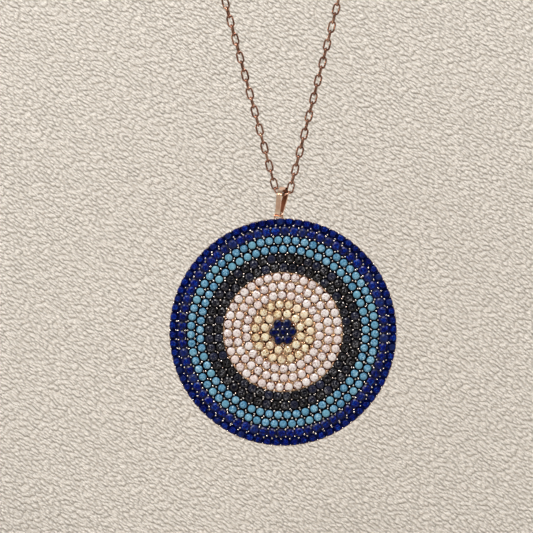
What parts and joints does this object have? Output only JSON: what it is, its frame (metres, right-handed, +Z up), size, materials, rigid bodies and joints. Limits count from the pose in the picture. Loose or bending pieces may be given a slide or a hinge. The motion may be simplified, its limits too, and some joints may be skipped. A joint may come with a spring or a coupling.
{
  "type": "evil eye pendant",
  "caption": "Round flat pendant set with concentric rings of small round stones as a blue evil eye, hanging by a tapered bail from a closed loop of fine cable chain with a spring ring clasp.",
  "frame": {"origin": "axis of the round peg that the chain hangs over, level with the middle of the chain's thickness", "axes": "+Z up, the way the chain hangs; -Y out of the jewelled face; +X to the right of someone facing the stones"},
  "size_m": [0.032, 0.006, 0.0782],
  "materials": {
    "disc_plating": "polished",
    "rose_gold": "polished",
    "spring_steel": "satin",
    "stone_navy": "polished",
    "stone_yellow": "polished",
    "stone_white": "polished",
    "stone_black": "polished",
    "stone_turquoise": "gloss"
  },
  "bodies": {
    "chain": {"chain_left": "rose_gold", "chain_right": "rose_gold", "chain_bight_links": "rose_gold", "chain_end_links": "rose_gold", "clasp_ring": "rose_gold", "end_ring": "rose_gold", "clasp_tube": "rose_gold", "clasp_eye": "rose_gold", "clasp_spring": "spring_steel"},
    "bail": {"bail": "rose_gold"},
    "pendant": {"pendant_disc": "disc_plating", "pendant_loop": "rose_gold", "stones_navy_heart": "stone_navy", "stones_yellow_inner": "stone_yellow", "stones_yellow_outer": "stone_yellow", "stones_white_inner": "stone_white", "stones_white_middle": "stone_white", "stones_white_outer": "stone_white", "stones_black_inner": "stone_black", "stones_black_outer": "stone_black", "stones_turquoise_inner": "stone_turquoise", "stones_turquoise_outer": "stone_turquoise", "stones_navy_inner": "stone_navy", "stones_navy_outer": "stone_navy"},
    "bolt": {"clasp_bolt": "rose_gold"}
  },
  "joints": [
    {"name": "bail_swing", "type": "hinge", "parent": "chain", "child": "bail", "pos_m": [-0.00007, 0, -0.03242], "axis": [0.8982, -0.4067, -0.1665], "range_deg": [-60, 60]},
    {"name": "pendant_sway", "type": "hinge", "parent": "bail", "child": "pendant", "pos_m": [-0.00062, 0, -0.0354], "axis": [0, 1, 0], "range_deg": [-30, 30]},
    {"name": "bolt_draw", "type": "hinge", "parent": "chain", "child": "bolt", "pos_m": [0, 0, 0.0092], "axis": [0, 0, -1], "range_deg": [0, 44], "stiffness_Nm_per_rad": 0.002, "springref_deg": -17.19}
  ]
}
